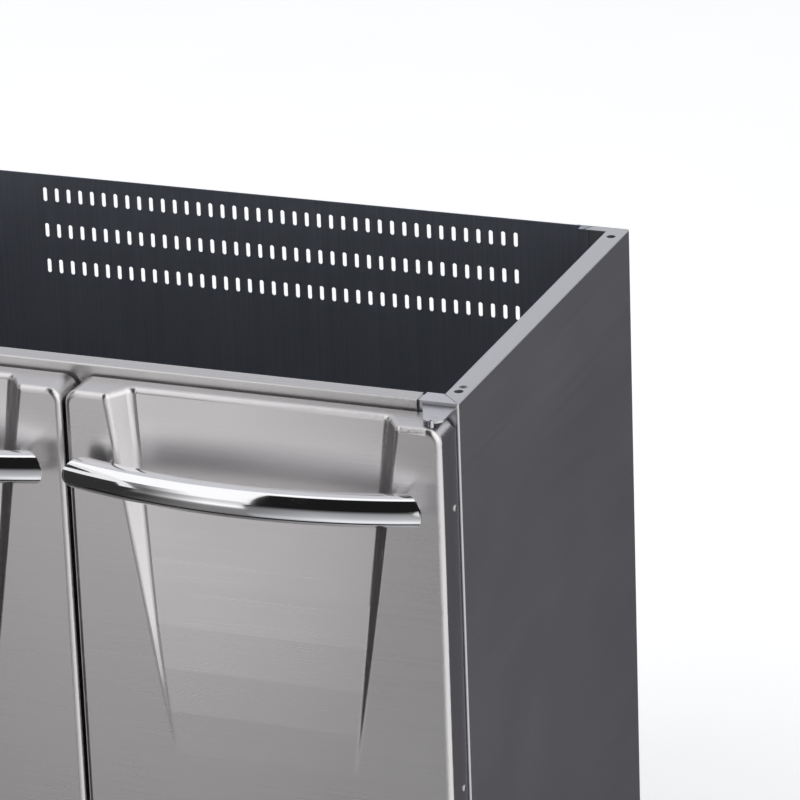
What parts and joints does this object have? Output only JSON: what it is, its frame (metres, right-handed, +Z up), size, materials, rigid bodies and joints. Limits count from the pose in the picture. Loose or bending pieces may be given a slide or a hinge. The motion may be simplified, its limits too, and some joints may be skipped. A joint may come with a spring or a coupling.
{
  "type": "outdoor kitchen base cabinet",
  "caption": "Open-topped stainless base cabinet with pivot-hung double-skin doors, bowed tubular handles over scooped fronts, a vented back and screw feet.",
  "frame": {"origin": "floor level under the middle of the overall box, handles included", "axes": "+Z up, -Y out of the doors, +X to the right seen from the front"},
  "size_m": [0.776, 0.6047, 0.82],
  "materials": {
    "carcass_steel": "satin stainless sheet",
    "back_steel": "brushed stainless sheet, upright grain",
    "door_steel": "satin stainless sheet with fine grain",
    "liner_steel": "mill finish stainless sheet",
    "bracket_steel": "bead-blasted stainless casting",
    "fastener_steel": "turned stainless steel",
    "handle_chrome": "polished stainless tube",
    "bush_plastic": "natural nylon",
    "catch_plastic": "dark moulded plastic",
    "bumper_rubber": "soft dark rubber",
    "pad_plastic": "moulded black plastic"
  },
  "bodies": {
    "cabinet": {"side_panel_right": "carcass_steel", "side_panel_left": "carcass_steel", "back_panel": "back_steel", "back_rivets": "fastener_steel", "top_rail": "carcass_steel", "bottom_rail": "carcass_steel", "floor_panel": "carcass_steel", "hinge_bracket_top_right": "bracket_steel", "hinge_bracket_bottom_right": "bracket_steel", "hinge_bracket_top_left": "bracket_steel", "hinge_bracket_bottom_left": "bracket_steel", "hinge_pins": "fastener_steel", "bracket_screws": "fastener_steel", "rail_screws": "fastener_steel", "magnet_catches": "catch_plastic", "foot_sockets": "fastener_steel"},
    "right_door": {"door_skin_right": "door_steel", "door_liner_right": "liner_steel", "side_rivets_right": "fastener_steel", "pivot_blocks_right": "bracket_steel", "pivot_bushes_right": "bush_plastic", "handle_bar_right": "handle_chrome", "handle_caps_right": "handle_chrome", "handle_posts_right": "handle_chrome", "handle_screws_right": "fastener_steel", "strike_plate_right": "fastener_steel", "door_bumper_right": "bumper_rubber"},
    "left_door": {"door_skin_left": "door_steel", "door_liner_left": "liner_steel", "side_rivets_left": "fastener_steel", "pivot_blocks_left": "bracket_steel", "pivot_bushes_left": "bush_plastic", "handle_bar_left": "handle_chrome", "handle_caps_left": "handle_chrome", "handle_posts_left": "handle_chrome", "handle_screws_left": "fastener_steel", "strike_plate_left": "fastener_steel", "door_bumper_left": "bumper_rubber"},
    "foot_front_right": {"foot_pad_front_right": "pad_plastic", "foot_stud_front_right": "fastener_steel"},
    "foot_rear_right": {"foot_pad_rear_right": "pad_plastic", "foot_stud_rear_right": "fastener_steel"},
    "foot_front_left": {"foot_pad_front_left": "pad_plastic", "foot_stud_front_left": "fastener_steel"},
    "foot_rear_left": {"foot_pad_rear_left": "pad_plastic", "foot_stud_rear_left": "fastener_steel"}
  },
  "joints": [
    {"name": "right_door_hinge", "type": "hinge", "parent": "cabinet", "child": "right_door", "pos_m": [0.3745, -0.22635, 0.428], "axis": [0, 0, 1], "range_deg": [0, 110]},
    {"name": "left_door_hinge", "type": "hinge", "parent": "cabinet", "child": "left_door", "pos_m": [-0.3745, -0.22635, 0.428], "axis": [0, 0, -1], "range_deg": [0, 110]},
    {"name": "front_right_foot_screw", "type": "slide", "parent": "cabinet", "child": "foot_front_right", "axis": [0, 0, 1], "range_m": [0, 0.018]},
    {"name": "rear_right_foot_screw", "type": "slide", "parent": "cabinet", "child": "foot_rear_right", "axis": [0, 0, 1], "range_m": [0, 0.018]},
    {"name": "front_left_foot_screw", "type": "slide", "parent": "cabinet", "child": "foot_front_left", "axis": [0, 0, 1], "range_m": [0, 0.018]},
    {"name": "rear_left_foot_screw", "type": "slide", "parent": "cabinet", "child": "foot_rear_left", "axis": [0, 0, 1], "range_m": [0, 0.018]}
  ]
}
